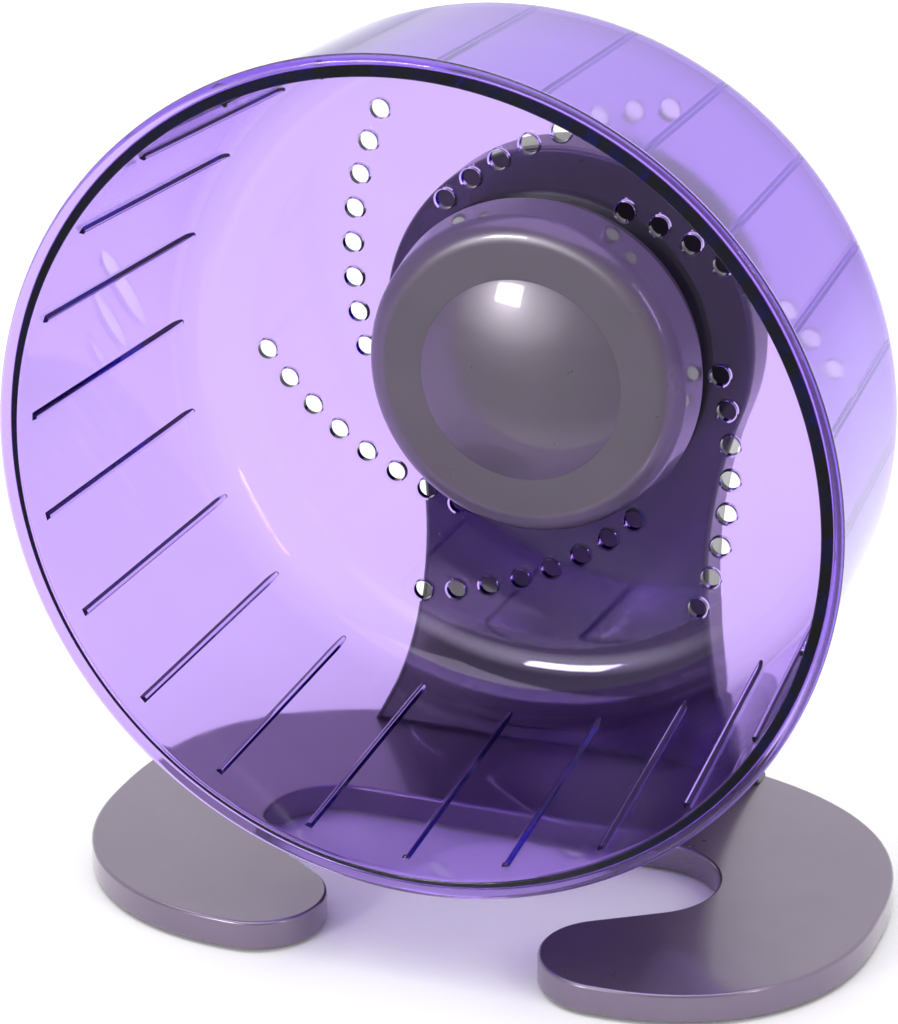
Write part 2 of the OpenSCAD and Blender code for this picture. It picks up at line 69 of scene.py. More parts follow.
# Places that the pieces share, read from the solids
DRUM_LOW, DRUM_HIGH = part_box("wheel_drum")
CAP_LOW, CAP_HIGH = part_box("hub_cap")
DOME_LOW, DOME_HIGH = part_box("hub_dome")
BASE_LOW, BASE_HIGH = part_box("base_plate")
UPRIGHT_LOW, UPRIGHT_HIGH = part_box("upright_shell")
PAD_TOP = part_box("foot_pads")[1][2]

RIM_Y = DRUM_LOW[1]
DISC_BACK = DRUM_HIGH[1] - RIM_Y
AXLE_Z = (CAP_LOW[2] + CAP_HIGH[2]) / 2
REAR_Y = BASE_HIGH[1]
UPRIGHT_Y = UPRIGHT_LOW[1]
HUB_RADIUS = (CAP_HIGH[0] - CAP_LOW[0]) / 2

# Places and sizes of hidden fits, in metres, as in the solids
DRUM_BORE = 0.01405
HUB_TO_VENT = 0.0033
REAR_PAD = (0.056, REAR_Y - 0.024)
PAD_RECESS = 0.00605
SCREW_PITCH = 0.02
SCREW_INSET = 0.0039
SCREW_HOLE = 0.00165
HEAD_HOLE = 0.00295
HEAD_DEPTH = 0.00195
HEAD_RADIUS = 0.0028
BASE_SCREWS = [(x, UPRIGHT_Y + SCREW_INSET) for x in (-SCREW_PITCH, 0, SCREW_PITCH)]

# Modelling limits, lengths in metres
MERGE_GAP = 2e-6
ON_LINE = 0.0001
CUT_PAST = 0.001
FLAT_ANGLE = math.radians(0.3)
ROD_SIDES = 48

# The range that most of a noise texture's values lie in
NOISE_LOW, NOISE_HIGH = 0.3, 0.7


# Settings

class DrumSettings(bpy.types.PropertyGroup):
    """Sizes of the running drum"""
    rim_radius: FloatProperty(
        name="Rim radius", description="Outer radius of the front rim",
        default=(DRUM_HIGH[0] - DRUM_LOW[0]) / 2, subtype="DISTANCE", unit="LENGTH")
    wall: FloatProperty(
        name="Wall", description="Thickness of the drum's wall and disc",
        default=0.002, subtype="DISTANCE", unit="LENGTH")
    lip_depth: FloatProperty(
        name="Lip depth", description="Depth of the lip round the front rim",
        default=0.0022, subtype="DISTANCE", unit="LENGTH")
    lip_step: FloatProperty(
        name="Lip step", description="How far the lip stands out from the wall",
        default=0.0022, subtype="DISTANCE", unit="LENGTH")
    wall_draft: FloatProperty(
        name="Wall draft", description="How much narrower the wall's radius is at the back",
        default=0.0042, subtype="DISTANCE", unit="LENGTH")
    corner_radius: FloatProperty(
        name="Corner radius", description="Outer radius of the round back corner",
        default=0.016, subtype="DISTANCE", unit="LENGTH")
    rib_count: IntProperty(
        name="Ribs", description="Running ribs inside the wall", default=24, min=4)
    rib_width: FloatProperty(
        name="Rib width", description="Width of a rib at the wall",
        default=0.0016, subtype="DISTANCE", unit="LENGTH")
    rib_height: FloatProperty(
        name="Rib height", description="Height of a rib above the wall",
        default=0.00095, subtype="DISTANCE", unit="LENGTH")
    rib_crest: FloatProperty(
        name="Rib crest", description="Width of a rib at its crest",
        default=0.00055, subtype="DISTANCE", unit="LENGTH")
    rib_run: FloatProperty(
        name="Rib run", description="How far a rib runs into the round back corner",
        default=0.0046, subtype="DISTANCE", unit="LENGTH")
    rib_start: FloatProperty(
        name="Rib start", description="Distance from the rim's front to the ribs",
        default=0.0058, subtype="DISTANCE", unit="LENGTH")
    rib_phase: FloatProperty(
        name="Rib phase", description="Angle of the first rib, from the right-hand side upwards",
        default=math.radians(13.2), subtype="ANGLE")
    vent_rows: IntProperty(
        name="Vent rows", description="Curved rows of vent holes", default=6, min=1)
    vent_holes: IntProperty(
        name="Holes in a row", description="Vent holes in one row", default=8, min=1)
    vent_diameter: FloatProperty(
        name="Vent diameter", description="Diameter of a vent hole",
        default=0.004, subtype="DISTANCE", unit="LENGTH")
    vent_pitch: FloatProperty(
        name="Vent pitch", description="Spacing of the holes along a row",
        default=0.0073, subtype="DISTANCE", unit="LENGTH")
    vent_arc: FloatProperty(
        name="Row radius", description="Radius of the arc that a row follows",
        default=0.077, subtype="DISTANCE", unit="LENGTH")
    vent_offset: FloatProperty(
        name="Row centre", description="Distance of that arc's centre from the axle",
        default=0.0414, subtype="DISTANCE", unit="LENGTH")
    vent_inner: FloatProperty(
        name="Inmost hole", description="Distance of a row's inmost hole from the axle",
        default=HUB_RADIUS + HUB_TO_VENT, subtype="DISTANCE", unit="LENGTH")
    vent_phase: FloatProperty(
        name="Row phase", description="Angle of the first row's arc centre",
        default=math.radians(26.5), subtype="ANGLE")


class HubSettings(bpy.types.PropertyGroup):
    """Sizes of the hub's cap and dome"""
    radius: FloatProperty(
        name="Hub radius", description="Radius of the hub cap where it meets the disc",
        default=HUB_RADIUS, subtype="DISTANCE", unit="LENGTH")
    wall: FloatProperty(
        name="Hub wall", description="Wall of the hub cap",
        default=0.002, subtype="DISTANCE", unit="LENGTH")
    draft: FloatProperty(
        name="Hub draft", description="How much narrower the side is at its shoulder",
        default=0.001, subtype="DISTANCE", unit="LENGTH")
    shoulder: FloatProperty(
        name="Shoulder radius", description="Radius of the rounded shoulder",
        default=0.005, subtype="DISTANCE", unit="LENGTH")
    dome_radius: FloatProperty(
        name="Dome radius", description="Radius of the domed centre cap",
        default=(DOME_HIGH[0] - DOME_LOW[0]) / 2, subtype="DISTANCE", unit="LENGTH")
    dome_wall: FloatProperty(
        name="Dome wall", description="Wall of the dome",
        default=0.0016, subtype="DISTANCE", unit="LENGTH")
    ledge: FloatProperty(
        name="Ledge", description="Width of the ledge that the dome sits on",
        default=0.002, subtype="DISTANCE", unit="LENGTH")
    seat: FloatProperty(
        name="Seat depth", description="Depth of that ledge below the ring face",
        default=0.001, subtype="DISTANCE", unit="LENGTH")


class BaseSettings(bpy.types.PropertyGroup):
    """Sizes of the base plate"""
    half_width: FloatProperty(
        name="Half width", description="Half the width of the base",
        default=BASE_HIGH[0], subtype="DISTANCE", unit="LENGTH")
    widest: FloatProperty(
        name="Widest line", description="Distance from the base's front to its widest line",
        default=0.0444, subtype="DISTANCE", unit="LENGTH")
    rear_fullness: FloatProperty(
        name="Rear fullness", description="Fullness of the rear corners, where 2 is an ellipse",
        default=2.6)
    front_fullness: FloatProperty(
        name="Front fullness", description="Fullness of the front corners", default=2.2)
    foot_gap: FloatProperty(
        name="Foot gap", description="Clear gap between the tips of the feet",
        default=0.0456, subtype="DISTANCE", unit="LENGTH")
    tip_radius: FloatProperty(
        name="Tip radius", description="Radius of a foot's rounded tip",
        default=0.0137, subtype="DISTANCE", unit="LENGTH")
    leg_width: FloatProperty(
        name="Leg width", description="Width of the legs at the sides",
        default=0.0333, subtype="DISTANCE", unit="LENGTH")
    crossbar: FloatProperty(
        name="Crossbar", description="Depth of the crossbar at the back",
        default=0.0415, subtype="DISTANCE", unit="LENGTH")
    slot_radius: FloatProperty(
        name="Opening radius", description="Radius of the inner opening's rounded ends",
        default=0.015, subtype="DISTANCE", unit="LENGTH")
    edge: FloatProperty(
        name="Edge radius", description="Radius of the rounded edges",
        default=0.0007, subtype="DISTANCE", unit="LENGTH")


class UprightSettings(bpy.types.PropertyGroup):
    """Sizes of the upright"""
    head_radius: FloatProperty(
        name="Head radius", description="Radius of the round head",
        default=UPRIGHT_HIGH[2] - AXLE_Z, subtype="DISTANCE", unit="LENGTH")
    waist: FloatProperty(
        name="Waist", description="Half the width at the waist",
        default=0.0308, subtype="DISTANCE", unit="LENGTH")
    waist_drop: FloatProperty(
        name="Waist drop", description="Distance of the waist below the axle",
        default=0.0475, subtype="DISTANCE", unit="LENGTH")
    front_edge: FloatProperty(
        name="Front edge", description="Radius of the rounded front edge",
        default=0.0012, subtype="DISTANCE", unit="LENGTH")
    back_edge: FloatProperty(
        name="Back edge", description="Radius of the rounded back edge",
        default=0.0006, subtype="DISTANCE", unit="LENGTH")
    cover_inset: FloatProperty(
        name="Cover inset",
        description="How far the cover's edge lies inside the upright's outline",
        default=0.00255, subtype="DISTANCE", unit="LENGTH")
    cover_edge: FloatProperty(
        name="Cover edge", description="Radius of the cover's rounded edges",
        default=0.00025, subtype="DISTANCE", unit="LENGTH")


class FinishSettings(bpy.types.PropertyGroup):
    """Colours of the finishes"""
    drum_tint: FloatVectorProperty(
        name="Drum tint", description="Colour that the clear plastic's skin gives to light",
        subtype="COLOR", size=3, default=(0.76, 0.655, 0.92), min=0, max=1)
    drum_depth: FloatVectorProperty(
        name="Drum depth colour", description="Colour that light keeps inside the clear plastic",
        subtype="COLOR", size=3, default=(0.42, 0.03, 0.91), min=0, max=1)
    pewter: FloatVectorProperty(
        name="Pewter", description="Colour of the hub",
        subtype="COLOR", size=3, default=(0.16, 0.139, 0.17), min=0, max=1)
    # Painted light: the base's pewter is the hub's pewter painted lighter, for the brighter light
    # that falls on the base
    base: FloatVectorProperty(
        name="Base", description="Lighter, warmer pewter of the base",
        subtype="COLOR", size=3, default=(0.19, 0.147, 0.22), min=0, max=1)
    # Painted shade: the upright's pewter is the same pewter painted darker, for the shade it
    # stands in behind the drum
    upright: FloatVectorProperty(
        name="Upright", description="Darker pewter of the upright",
        subtype="COLOR", size=3, default=(0.042, 0.035, 0.046), min=0, max=1)
    rubber: FloatVectorProperty(
        name="Rubber", description="Colour of the foot pads",
        subtype="COLOR", size=3, default=(0.022, 0.022, 0.024), min=0, max=1)


class StageSettings(bpy.types.PropertyGroup):
    """The camera and the studio"""
    lens: FloatProperty(name="Lens", description="Focal length in millimetres", default=140.33)
    azimuth: FloatProperty(
        name="Azimuth", description="Camera's turn to the right of the front",
        default=math.radians(20.57), subtype="ANGLE")
    elevation: FloatProperty(
        name="Elevation", description="Camera's angle above the horizon",
        default=math.radians(22.63), subtype="ANGLE")
    camera_from_rim: FloatVectorProperty(
        name="Camera place", description="Camera's place from the middle of the front rim",
        subtype="TRANSLATION", unit="LENGTH", size=3, default=(0.24414, -0.6275, 0.27723))
    floor_colour: FloatVectorProperty(
        name="Floor", description="Colour of the floor",
        subtype="COLOR", size=3, default=(0.93, 0.93, 0.93), min=0, max=1)
    # Painted reflection: grey of a sheet seen only in glossy surfaces, painting a darker floor
    # into their reflections
    reflection_shade_colour: FloatVectorProperty(
        name="Flag", description="Colour of the cloth that keeps glare off the glossy pieces",
        subtype="COLOR", size=3, default=(0.22, 0.22, 0.22), min=0, max=1)


# Modelling helpers

def deselect_all():
    if bpy.context.mode != "OBJECT":
        bpy.ops.object.mode_set(mode="OBJECT")
    bpy.ops.object.select_all(action="DESELECT")


def make_active(obj):
    deselect_all()
    obj.select_set(True)
    bpy.context.view_layer.objects.active = obj


def edit_all(obj):
    make_active(obj)
    bpy.ops.object.mode_set(mode="EDIT")
    bpy.ops.mesh.select_all(action="SELECT")


def leave_edit():
    bpy.ops.object.mode_set(mode="OBJECT")


def trace(name, points):
    """Draws a chain of edges through the points, by extruding one vertex along them."""
    deselect_all()
    bpy.ops.mesh.primitive_plane_add(size=0.001, location=(0, 0, 0))
    obj = bpy.context.object
    obj.name = name
    obj.data.name = name
    bpy.ops.object.mode_set(mode="EDIT")
    bpy.ops.mesh.select_all(action="SELECT")
    bpy.ops.mesh.merge(type="CENTER")
    bpy.ops.transform.translate(value=points[0])
    for here, there in zip(points, points[1:]):
        step = tuple(b - a for a, b in zip(here, there))
        bpy.ops.mesh.extrude_vertices_move(TRANSFORM_OT_translate={"value": step})
    leave_edit()
    return obj


def tidy_mesh(obj):
    """Merges doubles and turns all faces outwards."""
    edit_all(obj)
    bpy.ops.mesh.remove_doubles(threshold=MERGE_GAP)
    bpy.ops.mesh.select_all(action="SELECT")
    bpy.ops.mesh.normals_make_consistent(inside=False)
    leave_edit()


def turned(name, section, steps):
    """Turns a section of (radius, distance behind the rim) round the axle."""
    obj = trace(name, [(r, RIM_Y + u, AXLE_Z) for r, u in section])
    edit_all(obj)
    bpy.ops.mesh.spin(steps=steps, angle=2 * math.pi, center=(0, 0, AXLE_Z), axis=(0, 1, 0))
    leave_edit()
    tidy_mesh(obj)
    return obj


def plate(name, outline, depth):
    """A solid plate: the outline filled and extruded by the vector depth."""
    obj = trace(name, outline)
    edit_all(obj)
    bpy.ops.mesh.remove_doubles(threshold=MERGE_GAP)
    bpy.ops.mesh.select_all(action="SELECT")
    bpy.ops.mesh.edge_face_add()
    bpy.ops.mesh.extrude_region_move(TRANSFORM_OT_translate={"value": depth})
    leave_edit()
    tidy_mesh(obj)
    return obj


def apply_modifier(obj, kind, **settings):
    make_active(obj)
    modifier = obj.modifiers.new(kind.lower(), kind)
    for key, value in settings.items():
        setattr(modifier, key, value)
    bpy.ops.object.modifier_apply(modifier=modifier.name)


def combine(obj, tool, operation):
    """Adds a tool body to a piece, or cuts the piece with it, and removes the tool."""
    apply_modifier(obj, "BOOLEAN", operation=operation, solver="EXACT", object=tool)
    deselect_all()
    tool.select_set(True)
    bpy.ops.object.delete()


def rods(name, lines):
    """Separate round bars in one tool, each from a low point up to a high point at its radius."""
    deselect_all()
    bars = []
    for low, high, radius in lines:
        bpy.ops.mesh.primitive_cylinder_add(
            vertices=ROD_SIDES, radius=radius, depth=high[2] - low[2],
            location=(low[0], low[1], (low[2] + high[2]) / 2))
        bars.append(bpy.context.object)
    return join(name, bars)


def join(name, objects):
    """Joins objects into the first one, with their places taken into its mesh."""
    deselect_all()
    for obj in objects:
        obj.select_set(True)
    bpy.context.view_layer.objects.active = objects[0]
    bpy.ops.object.join()
    bpy.ops.object.transform_apply(location=True, rotation=True, scale=True)
    objects[0].name = name
    objects[0].data.name = name
    return objects[0]


def round_edges(obj, width, segments, angle):
    """Rounds all edges that are sharper than an angle in degrees."""
    apply_modifier(
        obj, "BEVEL", width=width, segments=segments, limit_method="ANGLE",
        angle_limit=math.radians(angle), use_clamp_overlap=True, harden_normals=False)


def smooth(obj, angle=30):
    """Smooth shading up to an angle, with flat faces kept flat."""
    make_active(obj)
    bpy.ops.object.shade_smooth_by_angle(angle=math.radians(angle))
    apply_modifier(obj, "WEIGHTED_NORMAL", keep_sharp=True, weight=80)


def finish_piece(obj, body, material, slot, *nodes):
    """Gives a piece its finish, and lets it ride in place of its solids."""
    obj.data.materials.clear()
    obj.data.materials.append(material)
    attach(obj, body)
    if nodes:
        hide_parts(*nodes)


def arc(centre, radius, start, end, steps):
    """Points along an arc, angles in radians."""
    return [
        (centre[0] + radius * math.cos(start + (end - start) * i / steps),
         centre[1] + radius * math.sin(start + (end - start) * i / steps))
        for i in range(steps + 1)
    ]


def rounded(corners):
    """Points of a closed section whose corners (r, u, radius, steps) are rounded."""
    points = []
    count = len(corners)
    for i, (x, y, radius, steps) in enumerate(corners):
        if radius <= 0:
            points.append((x, y))
            continue
        px, py = corners[i - 1][:2]
        nx, ny = corners[(i + 1) % count][:2]
        before = math.atan2(py - y, px - x)
        after = math.atan2(ny - y, nx - x)
        half = (after - before + math.pi) % (2 * math.pi) - math.pi
        reach = radius / math.tan(abs(half) / 2)
        middle = before + half / 2
        away = radius / math.sin(abs(half) / 2)
        centre = (x + away * math.cos(middle), y + away * math.sin(middle))
        first = (x + reach * math.cos(before), y + reach * math.sin(before))
        last = (x + reach * math.cos(after), y + reach * math.sin(after))
        a0 = math.atan2(first[1] - centre[1], first[0] - centre[0])
        a1 = math.atan2(last[1] - centre[1], last[0] - centre[0])
        sweep = (a1 - a0 + math.pi) % (2 * math.pi) - math.pi
        points += arc(centre, radius, a0, a0 + sweep, steps)
    return points + points[:1]


def tangent_slope(point, centre, radius, side):
    """Angle at which a line from a point touches a circle."""
    dx, dy = point[0] - centre[0], point[1] - centre[1]
    return math.atan2(dy, dx) + side * math.acos(radius / math.hypot(dx, dy))


# Finishes

def new_finish(name):
    material = bpy.data.materials.new(name)
    material.use_nodes = True
    tree = material.node_tree
    shader = tree.nodes["Principled BSDF"]
    place = tree.nodes.new("ShaderNodeTexCoord").outputs["Object"]
    return material, tree, shader, place


def noise(tree, place, scale, detail, roughness=0.55):
    node = tree.nodes.new("ShaderNodeTexNoise")
    node.inputs["Scale"].default_value = scale
    node.inputs["Detail"].default_value = detail
    node.inputs["Roughness"].default_value = roughness
    tree.links.new(place, node.inputs["Vector"])
    return node.outputs["Fac"]


def spread(tree, value, low, high):
    """Maps a noise value from its usual range to low and high."""
    node = tree.nodes.new("ShaderNodeMapRange")
    node.inputs["From Min"].default_value = NOISE_LOW
    node.inputs["From Max"].default_value = NOISE_HIGH
    node.inputs["To Min"].default_value = low
    node.inputs["To Max"].default_value = high
    tree.links.new(value, node.inputs["Value"])
    return node.outputs["Result"]


def two_tone(tree, value, dark, light):
    node = tree.nodes.new("ShaderNodeValToRGB")
    node.color_ramp.elements[0].position = NOISE_LOW
    node.color_ramp.elements[0].color = (*dark, 1)
    node.color_ramp.elements[1].position = NOISE_HIGH
    node.color_ramp.elements[1].color = (*light, 1)
    tree.links.new(value, node.inputs["Fac"])
    return node.outputs["Color"]


def shade(colour, factor):
    return tuple(min(1.0, c * factor) for c in colour)


def cloud_colour(tree, shader, place, dark, light, scale, detail):
    """Colours a finish in soft clouds between two tones."""
    clouds = noise(tree, place, scale, detail)
    tree.links.new(two_tone(tree, clouds, dark, light), shader.inputs["Base Color"])


def cloud_gloss(tree, shader, place, low, high, scale, detail):
    """Lets a finish's roughness drift between two values."""
    clouds = noise(tree, place, scale, detail)
    tree.links.new(spread(tree, clouds, low, high), shader.inputs["Roughness"])


def grain(tree, shader, place, distance, strength, scale, detail):
    """Gives a finish a fine uneven surface."""
    node = tree.nodes.new("ShaderNodeBump")
    node.inputs["Distance"].default_value = distance
    node.inputs["Strength"].default_value = strength
    tree.links.new(noise(tree, place, scale, detail), node.inputs["Height"])
    tree.links.new(node.outputs["Normal"], shader.inputs["Normal"])


def clear_purple(finish):
    """Clear tinted plastic, darker where light runs a long way inside it."""
    material, tree, shader, place = new_finish("clear_purple")
    tint = tuple(finish.drum_tint)
    cloud_colour(tree, shader, place, shade(tint, 0.97), tint, scale=22, detail=3)
    cloud_gloss(tree, shader, place, 0.03, 0.07, scale=90, detail=5)
    shader.inputs["Transmission Weight"].default_value = 1.0
    shader.inputs["IOR"].default_value = 1.49
    grain(tree, shader, place, 0.0002, 0.02, scale=45, detail=1)
    absorb = tree.nodes.new("ShaderNodeVolumeAbsorption")
    absorb.inputs["Color"].default_value = (*finish.drum_depth, 1)
    absorb.inputs["Density"].default_value = 236.0
    tree.links.new(absorb.outputs["Volume"], tree.nodes["Material Output"].inputs["Volume"])
    return material


def pewter_moulding(name, colour, metal, coat, coat_roughness):
    """Moulded plastic in pewter grey: a clouded metallic body under a sharp gloss."""
    material, tree, shader, place = new_finish(name)
    cloud_colour(
        tree, shader, place, shade(colour, 0.92), shade(colour, 1.06), scale=35, detail=6)
    cloud_gloss(tree, shader, place, 0.27, 0.35, scale=120, detail=5)
    shader.inputs["IOR"].default_value = 1.5
    shader.inputs["Metallic"].default_value = metal
    shader.inputs["Coat Weight"].default_value = coat
    shader.inputs["Coat Roughness"].default_value = coat_roughness
    return material


def dark_moulding():
    """Near-black moulded plastic with a fine grain."""
    material, tree, shader, place = new_finish("dark_moulding")
    cloud_colour(
        tree, shader, place, (0.030, 0.028, 0.034), (0.042, 0.039, 0.046), scale=60, detail=5)
    cloud_gloss(tree, shader, place, 0.34, 0.46, scale=200, detail=4)
    grain(tree, shader, place, 0.00003, 0.3, scale=2200, detail=2)
    return material


def zinc_plate():
    """Zinc-plated steel, clouded and a little rough."""
    material, tree, shader, place = new_finish("zinc_plate")
    cloud_colour(
        tree, shader, place, (0.50, 0.51, 0.53), (0.64, 0.65, 0.66), scale=300, detail=6)
    cloud_gloss(tree, shader, place, 0.24, 0.42, scale=700, detail=5)
    shader.inputs["Metallic"].default_value = 1.0
    grain(tree, shader, place, 0.00002, 0.3, scale=1800, detail=3)
    return material


def polished_steel():
    """Ground and polished bearing steel."""
    material, tree, shader, place = new_finish("polished_steel")
    cloud_colour(
        tree, shader, place, (0.68, 0.69, 0.71), (0.78, 0.79, 0.80), scale=400, detail=4)
    cloud_gloss(tree, shader, place, 0.08, 0.16, scale=900, detail=4)
    shader.inputs["Metallic"].default_value = 1.0
    return material


def cage_nylon():
    """Cream nylon that lets a little light in."""
    material, tree, shader, place = new_finish("cage_nylon")
    cloud_colour(
        tree, shader, place, (0.68, 0.62, 0.48), (0.78, 0.72, 0.58), scale=250, detail=4)
    cloud_gloss(tree, shader, place, 0.38, 0.5, scale=600, detail=3)
    shader.inputs["Subsurface Weight"].default_value = 0.1
    shader.inputs["Subsurface Scale"].default_value = 0.001
    return material


def pad_rubber(finish):
    """Matt black rubber with a coarse grain."""
    material, tree, shader, place = new_finish("pad_rubber")
    colour = tuple(finish.rubber)
    cloud_colour(
        tree, shader, place, shade(colour, 0.8), shade(colour, 1.3), scale=180, detail=6)
    cloud_gloss(tree, shader, place, 0.68, 0.85, scale=500, detail=5)
    grain(tree, shader, place, 0.0001, 0.4, scale=1500, detail=4)
    return material


def finish_named(name):
    """The finish of that name, made when it is first asked for."""
    if name not in bpy.data.materials:
        finish = bpy.context.scene.wheel_finish
        makers = {
            "clear_purple": lambda: clear_purple(finish),
            "hub_pewter": lambda: pewter_moulding(
                "hub_pewter", finish.pewter, metal=0.45, coat=0.65, coat_roughness=0.045),
            # Painted light: the base's pewter is painted lighter than the hub's
            "base_pewter_painted_light": lambda: pewter_moulding(
                "base_pewter_painted_light", finish.base, metal=0.75, coat=1.0, coat_roughness=0.1),
            # Painted shade: the upright's pewter is painted darker than the hub's
            "upright_pewter_painted_shade": lambda: pewter_moulding(
                "upright_pewter_painted_shade", finish.upright, metal=0.45, coat=0.5, coat_roughness=0.1),
            "dark_moulding": dark_moulding,
            "zinc_plate": zinc_plate,
            "polished_steel": polished_steel,
            "cage_nylon": cage_nylon,
            "pad_rubber": lambda: pad_rubber(finish),
        }
        makers[name]()
    return bpy.data.materials[name]


# Pieces

def drum_lines(drum):
    """The slope of the drum's wall, and the radius of its outside at a distance behind the rim."""
    front = (drum.rim_radius - drum.lip_step, drum.lip_depth)
    centre = (front[0] - drum.wall_draft - drum.corner_radius, DISC_BACK - drum.corner_radius)
    slope = tangent_slope(front, centre, drum.corner_radius, 1)
    return slope, lambda u: front[0] - (u - front[1]) * math.tan(slope)


class BuildDrum(bpy.types.Operator):
    """Turns the see-through drum, adds its running ribs and cuts its vent holes"""
    bl_idname = "hamster_wheel.build_drum"
    bl_label = "Running drum"

    def rib(self, drum):
        """One ridge along the wall, with sloped sides and a round crest.

        It runs straight on into the round back corner, which swallows its end.
        """
        slope, outside = drum_lines(drum)
        inside = lambda u: outside(u) - drum.wall / math.cos(slope)
        root = drum.wall / 4
        end = DISC_BACK - drum.corner_radius + drum.rib_run
        half, crest = drum.rib_width / 2, drum.rib_crest / 2
        bend = 0.0002
        ridge = rounded([
            (-half, -root, 0, 0), (-half, 0, 0, 0), (-crest, drum.rib_height, bend, 4),
            (crest, drum.rib_height, bend, 4), (half, 0, 0, 0), (half, -root, 0, 0)])
        away, up = math.cos(drum.rib_phase), math.sin(drum.rib_phase)

        def place(across, rise, u):
            radius = inside(u) - rise
            return (radius * away - across * up, RIM_Y + u, AXLE_Z + radius * up + across * away)

        first, last = place(0, 0, drum.rib_start), place(0, 0, end)
        return plate(
            "rib_tool", [place(across, rise, drum.rib_start) for across, rise in ridge],
            tuple(b - a for a, b in zip(first, last)))

    def execute(self, context):
        drum = context.scene.wheel_drum_sizes
        slope, outside = drum_lines(drum)
        wall_run = drum.wall / math.cos(slope)
        disc_front = DISC_BACK - drum.wall
        nose, edge, bore_edge = 0.0015, 0.0005, 0.0002
        behind_lip, behind_rim = drum.lip_depth + 0.0015, 0.002
        disc_margin, wall_margin = 0.0005, 0.001
        flat = outside(drum.lip_depth) - drum.wall_draft - drum.corner_radius - disc_margin
        bend = DISC_BACK - drum.corner_radius - wall_margin
        section = rounded([
            (outside(0) - wall_run, 0, edge, 5),
            (drum.rim_radius, 0, nose, 7),
            (drum.rim_radius, drum.lip_depth, edge, 4),
            (outside(drum.lip_depth), drum.lip_depth, edge, 3),
            (outside(behind_lip), behind_lip, 0, 0),
            (outside(bend), bend, 0, 0),
            (outside(DISC_BACK), DISC_BACK, drum.corner_radius, 20),
            (flat, DISC_BACK, 0, 0),
            (DRUM_BORE, DISC_BACK, bore_edge, 2),
            (DRUM_BORE, disc_front, bore_edge, 2),
            (flat, disc_front, 0, 0),
            (outside(disc_front) - wall_run, disc_front, drum.corner_radius - drum.wall, 20),
            (outside(bend) - wall_run, bend, 0, 0),
            (outside(behind_rim) - wall_run, behind_rim, 0, 0),
        ])
        piece = turned("running_drum", section, steps=240)

        rib = self.rib(drum)
        edit_all(rib)
        bpy.ops.mesh.spin(
            steps=drum.rib_count, dupli=True, angle=2 * math.pi,
            center=(0, 0, AXLE_Z), axis=(0, 1, 0))
        leave_edit()
        tidy_mesh(rib)
        combine(piece, rib, "UNION")

        combine(piece, self.vent_tool(drum, disc_front), "DIFFERENCE")
        smooth(piece)
        finish_piece(piece, "wheel", finish_named("clear_purple"), "purple_clear", "wheel_drum")
        return {"FINISHED"}

    def vent_tool(self, drum, disc_front):
        """All vent cutters: slim reels whose flared ends break the holes' edges."""
        flare = 0.0003
        radius = drum.vent_diameter / 2
        wide = radius + flare + CUT_PAST
        front, back = disc_front - CUT_PAST, DISC_BACK + CUT_PAST
        reel = [
            (0, front), (wide, front), (radius, disc_front + flare),
            (radius, DISC_BACK - flare), (wide, back), (0, back),
        ]
        tool = turned("vent_tool", reel, steps=32)
        cosine = (drum.vent_inner ** 2 - drum.vent_offset ** 2 - drum.vent_arc ** 2) / (
            2 * drum.vent_offset * drum.vent_arc)
        inmost = math.acos(cosine)
        step = drum.vent_pitch / drum.vent_arc
        places = []
        for row in range(drum.vent_rows):
            turn = drum.vent_phase + row * 2 * math.pi / drum.vent_rows
            for hole in range(drum.vent_holes):
                along = turn + inmost - hole * step
                places.append((
                    drum.vent_offset * math.cos(turn) + drum.vent_arc * math.cos(along),
                    drum.vent_offset * math.sin(turn) + drum.vent_arc * math.sin(along)))
        edit_all(tool)
        bpy.ops.transform.translate(value=(places[0][0], 0, places[0][1]))
        for here, there in zip(places, places[1:]):
            bpy.ops.mesh.duplicate_move(
                TRANSFORM_OT_translate={"value": (there[0] - here[0], 0, there[1] - here[1])})
        leave_edit()
        return tool


